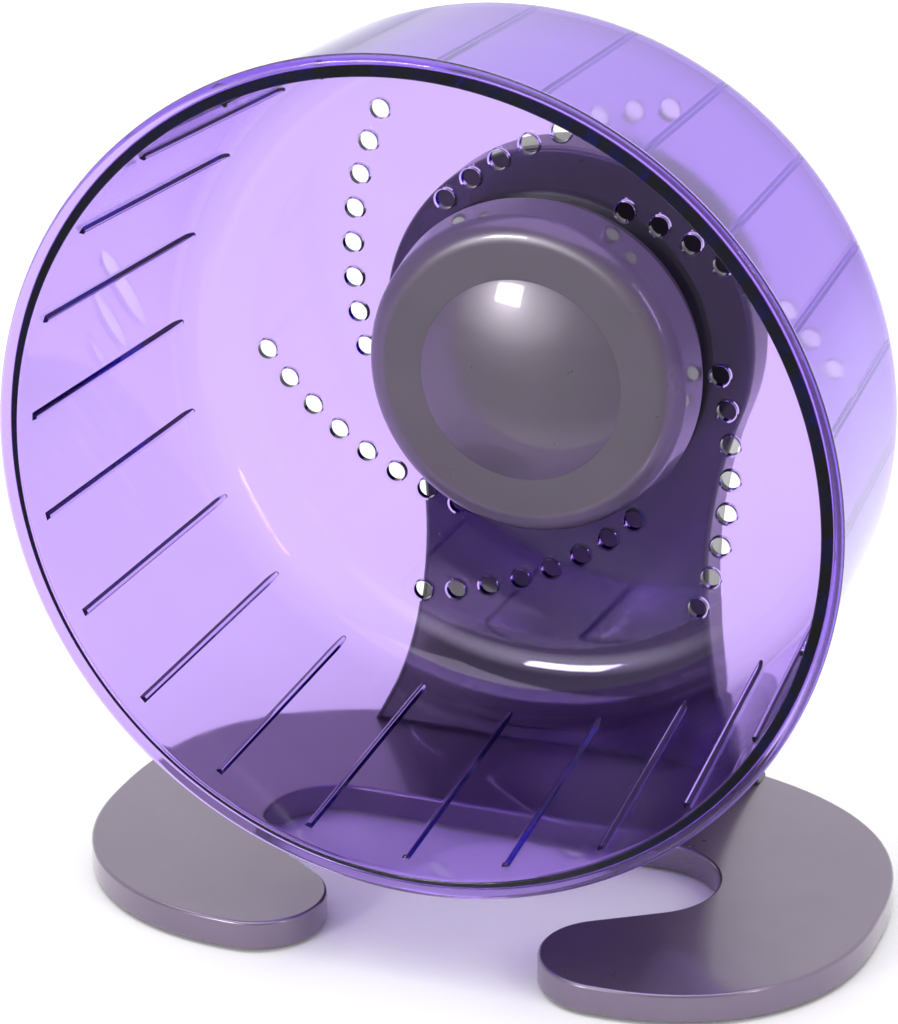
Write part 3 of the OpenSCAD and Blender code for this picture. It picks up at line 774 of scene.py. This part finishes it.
class BuildHub(bpy.types.Operator):
    """Turns the hub's cap and its domed centre"""
    bl_idname = "hamster_wheel.build_hub"
    bl_label = "Hub cap and dome"

    def execute(self, context):
        hub = context.scene.wheel_hub_sizes
        face = CAP_LOW[1] - RIM_Y
        foot = CAP_HIGH[1] - RIM_Y
        height = foot - face
        centre = (hub.radius - hub.draft - hub.shoulder, hub.shoulder)
        slope = tangent_slope((hub.radius, height), centre, hub.shoulder, -1)
        side = lambda u, inset: hub.radius + (foot - u) * math.tan(slope) - inset / math.cos(slope)
        seam, seam_edge, edge, chamfer = 0.00001, 0.00002, 0.0002, 0.0003
        tuck = 0.998
        seat_r = hub.dome_radius + seam
        hole_r = seat_r - hub.ledge
        cap = turned("hub_cap_moulding", rounded([
            (side(foot, 0), foot, edge, 2),
            (side(face, 0), face, hub.shoulder, 16),
            (seat_r, face, seam_edge, 1),
            (seat_r, face + hub.seat, 0, 0),
            (hole_r, face + hub.seat, edge, 2),
            (hole_r, face + hub.wall, edge, 2),
            (side(face + hub.wall, hub.wall), face + hub.wall, hub.shoulder - hub.wall, 10),
            (side(foot, hub.wall), foot, edge, 2),
        ]), steps=192)
        smooth(cap)
        finish_piece(cap, "wheel", finish_named("hub_pewter"), "pewter_plastic", "hub_cap")

        rise = face - (DOME_LOW[1] - RIM_Y)
        ball = (hub.dome_radius ** 2 + rise ** 2) / (2 * rise)
        middle = (0, face - rise + ball)
        edge_turn = math.asin(hub.dome_radius / ball) * tuck
        skirt_r = hub.dome_radius - hub.ledge
        inner_turn = math.asin((skirt_r - hub.dome_wall) / (ball - hub.dome_wall))
        back = DOME_HIGH[1] - RIM_Y
        apex = -math.pi / 2
        outer = arc(middle, ball, apex, apex + edge_turn, 28)
        inner = arc(middle, ball - hub.dome_wall, apex + inner_turn, apex, 14)
        dome = turned("hub_dome_cap", outer + [
            (hub.dome_radius, face + seam_edge),
            (hub.dome_radius, face + hub.seat),
            (skirt_r, face + hub.seat),
            (skirt_r, back - chamfer),
            (skirt_r - chamfer, back),
            (skirt_r - hub.dome_wall, back),
        ] + inner, steps=192)
        smooth(dome)
        finish_piece(dome, "wheel", finish_named("hub_pewter"), "pewter_plastic", "hub_dome")
        return {"FINISHED"}


class BuildBase(bpy.types.Operator):
    """Draws the C-shaped base plate and softens its edges"""
    bl_idname = "hamster_wheel.build_base"
    bl_label = "Base plate"

    def tip(self, base):
        """Centre of the right foot's rounded tip."""
        return (base.foot_gap / 2 + base.tip_radius, BASE_LOW[1] + base.tip_radius)

    def outline(self, base):
        """Right half of the outline, from the middle of the rear edge round to the inner edge."""
        steps = 28
        wide_y = BASE_LOW[1] + base.widest
        tip = self.tip(base)
        slot = (base.half_width - base.leg_width - base.slot_radius,
                REAR_Y - base.crossbar - base.slot_radius)
        dx, dy = slot[0] - tip[0], slot[1] - tip[1]
        reach = base.tip_radius + base.slot_radius
        arm = math.atan2(dy, dx) + math.acos(reach / math.hypot(dx, dy))

        def oval(centre, rx, ry, fullness, start, end):
            power = 2 / fullness
            points = []
            for i in range(steps + 1):
                a = start + (end - start) * i / steps
                c, s = math.cos(a), math.sin(a)
                points.append((
                    centre[0] + rx * math.copysign(abs(c) ** power, c),
                    centre[1] + ry * math.copysign(abs(s) ** power, s)))
            return points

        quarter = math.pi / 2
        rear = oval(
            (0, wide_y), base.half_width, REAR_Y - wide_y, base.rear_fullness, quarter, 0)
        front = oval(
            (tip[0], wide_y), base.half_width - tip[0], base.widest, base.front_fullness,
            0, -quarter)
        toe = arc(tip, base.tip_radius, -quarter, arm - 2 * math.pi, steps)
        inner = arc(slot, base.slot_radius, arm - math.pi, quarter, steps)
        return rear + front[1:] + toe[1:] + inner

    def underside_tool(self, base):
        """Cutters for the pads' recesses and the screws' stepped holes."""
        below, above = BASE_LOW[2] - CUT_PAST, BASE_HIGH[2] + CUT_PAST
        cuts = []
        for side in (-1, 1):
            for x, y in (self.tip(base), REAR_PAD):
                cuts.append((side * x, y, PAD_RECESS, PAD_TOP))
        for x, y in BASE_SCREWS:
            cuts.append((x, y, SCREW_HOLE, above))
            cuts.append((x, y, HEAD_HOLE, BASE_LOW[2] + HEAD_DEPTH))
        return rods(
            "underside_tool", [((x, y, below), (x, y, top), radius) for x, y, radius, top in cuts])

    def execute(self, context):
        base = context.scene.wheel_base_sizes
        half = self.outline(base)
        left = [(-x, y) for x, y in reversed(half)]
        whole = half + left[:-1] + half[:1]
        piece = plate(
            "base_moulding", [(x, y, BASE_LOW[2]) for x, y in whole],
            (0, 0, BASE_HIGH[2] - BASE_LOW[2]))
        round_edges(piece, base.edge, segments=3, angle=50)
        combine(piece, self.underside_tool(base), "DIFFERENCE")
        smooth(piece)
        finish_piece(piece, "stand", finish_named("base_pewter_painted_light"), "pewter_plastic", "base_plate")
        return {"FINISHED"}


def copy_of(node, name):
    """A merged copy of a solid, to work on as a piece of its own."""
    make_active(frame["nodes"][node])
    bpy.ops.object.duplicate()
    copy = bpy.context.object
    copy.name = name
    copy.data.name = name
    bpy.ops.object.parent_clear(type="CLEAR_KEEP_TRANSFORM")
    bpy.ops.object.transform_apply(location=True, rotation=True, scale=True)
    edit_all(copy)
    bpy.ops.mesh.remove_doubles(threshold=MERGE_GAP)
    bpy.ops.mesh.select_all(action="SELECT")
    bpy.ops.mesh.dissolve_limited(angle_limit=FLAT_ANGLE)
    leave_edit()
    return copy


def bevel_edges(obj, wanted, offset, segments):
    """Rounds the edges whose two ends pass the test."""
    edit_all(obj)
    bpy.ops.mesh.select_all(action="DESELECT")
    leave_edit()
    for edge in obj.data.edges:
        a, b = (obj.data.vertices[i].co for i in edge.vertices)
        edge.select = wanted(a, b)
    make_active(obj)
    bpy.ops.object.mode_set(mode="EDIT")
    bpy.ops.mesh.select_mode(type="EDGE")
    bpy.ops.mesh.bevel(offset=offset, segments=segments, affect="EDGES", clamp_overlap=True)
    bpy.ops.mesh.select_mode(type="VERT")
    leave_edit()
    tidy_mesh(obj)


class BuildUpright(bpy.types.Operator):
    """Copies the upright and its cover from their solids and rounds their edges"""
    bl_idname = "hamster_wheel.build_upright"
    bl_label = "Upright and cover"

    def on_outline(self, upright, point, inset):
        """Whether a point lies on the upright's outline, drawn in by the inset."""
        head, drop = upright.head_radius, upright.waist_drop
        neck = (upright.waist ** 2 + drop ** 2 - head ** 2) / (2 * (head - upright.waist))
        join_z = AXLE_Z - drop * head / (head + neck)
        if point.z > join_z:
            miss = math.hypot(point.x, point.z - AXLE_Z) - (head - inset)
        else:
            aside = abs(point.x) - upright.waist - neck
            miss = math.hypot(aside, point.z - AXLE_Z + drop) - (neck + inset)
        return abs(miss) < ON_LINE

    def rim_test(self, upright, inset, at_front):
        """A test for edges that run along the outline, at the front or behind it."""
        steepest = 0.6

        def wanted(a, b):
            across = abs(a.y - b.y) < steepest * (a - b).length
            level = all((p.y < UPRIGHT_Y + ON_LINE) == at_front for p in (a, b))
            outer = all(self.on_outline(upright, p, inset) for p in (a, b))
            return across and level and outer
        return wanted

    def execute(self, context):
        upright = context.scene.wheel_upright_sizes
        # The upright and its cover get the pewter painted darker, as painted shade
        pewter = finish_named("upright_pewter_painted_shade")
        shell = copy_of("upright_shell", "upright_moulding")
        bevel_edges(shell, self.rim_test(upright, 0, True), upright.front_edge, 5)
        bevel_edges(shell, self.rim_test(upright, 0, False), upright.back_edge, 3)
        smooth(shell)
        finish_piece(shell, "stand", pewter, "pewter_plastic", "upright_shell")

        cover = copy_of("upright_cover", "upright_back_cover")
        rim = self.rim_test(upright, upright.cover_inset, False)
        bevel_edges(cover, rim, upright.cover_edge, 2)
        smooth(cover)
        finish_piece(cover, "stand", pewter, "pewter_plastic", "upright_cover")
        return {"FINISHED"}


class BuildScrews(bpy.types.Operator):
    """Copies the screws from their solids and cuts a cross recess in each head"""
    bl_idname = "hamster_wheel.build_screws"
    bl_label = "Screws"

    def cross(self, place, axis):
        """A cross-shaped cutter on a screw head, which goes in by half its depth."""
        width, length, depth = 0.0008, 0.0032, 0.002
        bars = []
        for arm in range(3):
            if arm == axis:
                continue
            size = [width, width, width]
            size[arm] = length
            size[axis] = depth
            deselect_all()
            bpy.ops.mesh.primitive_cube_add(size=1, location=place)
            bar = bpy.context.object
            bar.scale = size
            bpy.ops.object.transform_apply(location=True, rotation=True, scale=True)
            bars.append(bar)
        combine(bars[0], bars[1], "UNION")
        return bars[0]

    def execute(self, context):
        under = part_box("base_screws")[0][2]
        cover_low, cover_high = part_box("cover_screws")
        hub_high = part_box("hub_screws")[1]
        edge = cover_high[0] - HEAD_RADIUS
        ends = (cover_low[2] + HEAD_RADIUS, cover_high[2] - HEAD_RADIUS)
        reach = hub_high[0] - HEAD_RADIUS
        rows = {
            "base_screws": ("stand", 2, [(x, y, under) for x, y in BASE_SCREWS]),
            "cover_screws": ("stand", 1, [
                (x, cover_high[1], z) for x in (-edge, edge) for z in ends]),
            "hub_screws": ("wheel", 1, [
                (x, hub_high[1], AXLE_Z + z) for x in (-reach, reach) for z in (-reach, reach)]),
        }
        for node, (body, axis, places) in rows.items():
            piece = copy_of(node, node.replace("screws", "cross_screws"))
            tool = join(node + "_tool", [self.cross(place, axis) for place in places])
            combine(piece, tool, "DIFFERENCE")
            smooth(piece)
            finish_piece(piece, body, finish_named("zinc_plate"), "zinc_steel", node)
        return {"FINISHED"}


class FinishHardware(bpy.types.Operator):
    """Gives the hub housing, bearings, axle and pads their finishes"""
    bl_idname = "hamster_wheel.finish_hardware"
    bl_label = "Hardware finishes"

    def execute(self, context):
        finishes = {
            "dark_moulding": ["hub_housing"],
            "pad_rubber": ["foot_pads"],
            "zinc_plate": [
                "axle", "axle_spacer", "bearing_spacer", "axle_washer", "lock_nut",
                "front_shields", "rear_shields"],
            "polished_steel": [
                "front_inner_ring", "front_outer_ring", "front_balls",
                "rear_inner_ring", "rear_outer_ring", "rear_balls"],
            "cage_nylon": ["front_cage", "rear_cage"],
        }
        for name, nodes in finishes.items():
            for node in nodes:
                for slot in frame["nodes"][node].material_slots:
                    slot.material = finish_named(name)
        return {"FINISHED"}


class BuildStage(bpy.types.Operator):
    """Sets the floor, the soft lights and the camera"""
    bl_idname = "hamster_wheel.build_stage"
    bl_label = "Studio"

    # Metres: side of the floor, height of the sheet of painted reflection, and where it fades out
    # in front
    floor_size = 10
    reflection_sheet_lift = 0.0005
    reflection_sheet_end = (-0.14, -0.06)
    # Name, place, width and height in metres, watts and shape; the ellipse has a soft edge
    softboxes = (
        ("window_softbox", (-0.55, -1.25, 0.51), (0.29, 0.22), 4.4, "RECTANGLE"),
        ("front_softbox", (-0.5, -1.4, 0.4), (1.7, 1.2), 16.5, "ELLIPSE"),
        ("top_softbox", (-0.1, -0.1, 1.4), (1.6, 1.6), 16, "RECTANGLE"),
        ("right_softbox", (1.2, -0.6, 0.7), (0.12, 0.6), 2.5, "RECTANGLE"),
    )

    def sheet(self, name, height, finish, colour):
        """A wide level sheet of matt paper or cloth with faint clouds."""
        deselect_all()
        bpy.ops.mesh.primitive_plane_add(size=self.floor_size, location=(0, 0, height))
        sheet = bpy.context.object
        sheet.name = name
        material, tree, shader, place = new_finish(finish)
        cloud_colour(tree, shader, place, shade(colour, 0.99), colour, scale=6, detail=3)
        shader.inputs["Roughness"].default_value = 0.9
        shader.inputs["Specular IOR Level"].default_value = 0.1
        sheet.data.materials.append(material)
        return sheet, tree, shader, place

    def ramp(self, tree, value, start, end, low, high):
        """Eases from low to high while the value goes from start to end."""
        node = tree.nodes.new("ShaderNodeMapRange")
        node.interpolation_type = "SMOOTHSTEP"
        node.inputs["From Min"].default_value = start
        node.inputs["From Max"].default_value = end
        node.inputs["To Min"].default_value = low
        node.inputs["To Max"].default_value = high
        tree.links.new(value, node.inputs["Value"])
        return node.outputs["Result"]

    def flag(self, colour):
        """Painted reflection: a dark sheet in front that shows in glossy surfaces alone and ends
        before the feet.
        """
        cloth, tree, shader, place = self.sheet(
            "painted_reflection_sheet", self.reflection_sheet_lift, "painted_reflection", colour)
        for ray in ("camera", "diffuse", "transmission", "volume_scatter", "shadow"):
            setattr(cloth, "visible_" + ray, False)
        split = tree.nodes.new("ShaderNodeSeparateXYZ")
        tree.links.new(place, split.inputs["Vector"])
        there = self.ramp(tree, split.outputs["Y"], *self.reflection_sheet_end, 1, 0)
        tree.links.new(there, shader.inputs["Alpha"])

    def fade_out(self, light):
        """Lets a light grow dimmer from its middle to its edge."""
        light.use_nodes = True
        tree = light.node_tree
        across = tree.nodes.new("ShaderNodeVectorMath")
        across.operation = "DISTANCE"
        across.inputs[1].default_value = (0.5, 0.5, 0)
        spot = tree.nodes.new("ShaderNodeNewGeometry").outputs["Parametric"]
        tree.links.new(spot, across.inputs[0])
        glow = self.ramp(tree, across.outputs["Value"], 0, 0.5, 1, 0)
        tree.links.new(glow, tree.nodes["Emission"].inputs["Strength"])

    def softbox(self, name, place, size, power, shape):
        """A soft light of a width and height, aimed at the axle."""
        light = bpy.data.lights.new(name, "AREA")
        light.shape = shape
        light.size, light.size_y = size
        light.energy = power
        lamp = bpy.data.objects.new(name, light)
        bpy.context.scene.collection.objects.link(lamp)
        lamp.location = place
        dx, dy, dz = (b - a for a, b in zip(place, (0, 0, AXLE_Z)))
        lamp.rotation_euler = (
            math.atan2(math.hypot(dx, dy), -dz), 0, math.atan2(dy, dx) - math.pi / 2)
        if shape == "ELLIPSE":
            self.fade_out(light)

    def air(self):
        """A white surround, dimmer in front of the object than behind it."""
        world = bpy.data.worlds.new("studio_air")
        world.use_nodes = True
        air = world.node_tree
        background = air.nodes["Background"]
        background.inputs["Color"].default_value = (1, 1, 1, 1)
        split = air.nodes.new("ShaderNodeSeparateXYZ")
        toward = air.nodes.new("ShaderNodeTexCoord").outputs["Generated"]
        air.links.new(toward, split.inputs["Vector"])
        depth = air.nodes.new("ShaderNodeMapRange")
        depth.inputs["From Min"].default_value = -0.9
        depth.inputs["From Max"].default_value = 0.3
        depth.inputs["To Min"].default_value = 0.42
        depth.inputs["To Max"].default_value = 1.0
        air.links.new(split.outputs["Y"], depth.inputs["Value"])
        air.links.new(depth.outputs["Result"], background.inputs["Strength"])
        return world

    def execute(self, context):
        scene = context.scene
        stage = scene.wheel_stage
        floor = self.sheet("studio_floor", 0, "floor_paper", tuple(stage.floor_colour))[0]
        # A sheet of painted reflection: a darker floor seen only in glossy surfaces
        self.flag(tuple(stage.reflection_shade_colour))
        scene.world = self.air()
        scene.view_settings.view_transform = "Standard"
        scene.cycles.max_bounces = 24
        scene.cycles.glossy_bounces = 16
        scene.cycles.transmission_bounces = 24
        for softbox in self.softboxes:
            self.softbox(*softbox)

        eye = stage.camera_from_rim
        camera = bpy.data.objects.new("photo_camera", bpy.data.cameras.new("photo_camera"))
        scene.collection.objects.link(camera)
        camera.location = (eye[0], RIM_Y + eye[1], AXLE_Z + eye[2])
        camera.rotation_euler = (math.pi / 2 - stage.elevation, 0, stage.azimuth)
        camera.data.lens = stage.lens
        camera.data.sensor_width = 36
        camera.data.sensor_fit = "AUTO"
        camera.data.clip_start = 0.01
        scene.camera = camera
        return {"FINISHED"}


class WheelPanel(bpy.types.Panel):
    """Lists the pieces and their sizes"""
    bl_idname = "VIEW3D_PT_hamster_wheel"
    bl_label = "Hamster wheel"
    bl_space_type = "VIEW_3D"
    bl_region_type = "UI"
    bl_category = "Hamster wheel"

    def draw(self, context):
        for name, group in SETTINGS.items():
            box = self.layout.box()
            for prop in group.__annotations__:
                box.prop(getattr(context.scene, name), prop)
        for operator in STEPS:
            self.layout.operator(operator.bl_idname)


SETTINGS = {
    "wheel_drum_sizes": DrumSettings,
    "wheel_hub_sizes": HubSettings,
    "wheel_base_sizes": BaseSettings,
    "wheel_upright_sizes": UprightSettings,
    "wheel_finish": FinishSettings,
    "wheel_stage": StageSettings,
}
STEPS = (BuildStage, BuildDrum, BuildHub, BuildBase, BuildUpright, BuildScrews, FinishHardware)


def register():
    for group in SETTINGS.values():
        bpy.utils.register_class(group)
    for name, group in SETTINGS.items():
        setattr(bpy.types.Scene, name, PointerProperty(type=group))
    for operator in STEPS:
        bpy.utils.register_class(operator)
    bpy.utils.register_class(WheelPanel)


def unregister():
    bpy.utils.unregister_class(WheelPanel)
    for operator in reversed(STEPS):
        bpy.utils.unregister_class(operator)
    for name in SETTINGS:
        delattr(bpy.types.Scene, name)
    for group in reversed(list(SETTINGS.values())):
        bpy.utils.unregister_class(group)


def main():
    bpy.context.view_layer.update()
    register()
    bpy.ops.hamster_wheel.build_stage()
    bpy.ops.hamster_wheel.build_drum()
    bpy.ops.hamster_wheel.build_hub()
    bpy.ops.hamster_wheel.build_base()
    bpy.ops.hamster_wheel.build_upright()
    bpy.ops.hamster_wheel.build_screws()
    bpy.ops.hamster_wheel.finish_hardware()


if __name__ == "__main__":
    main()
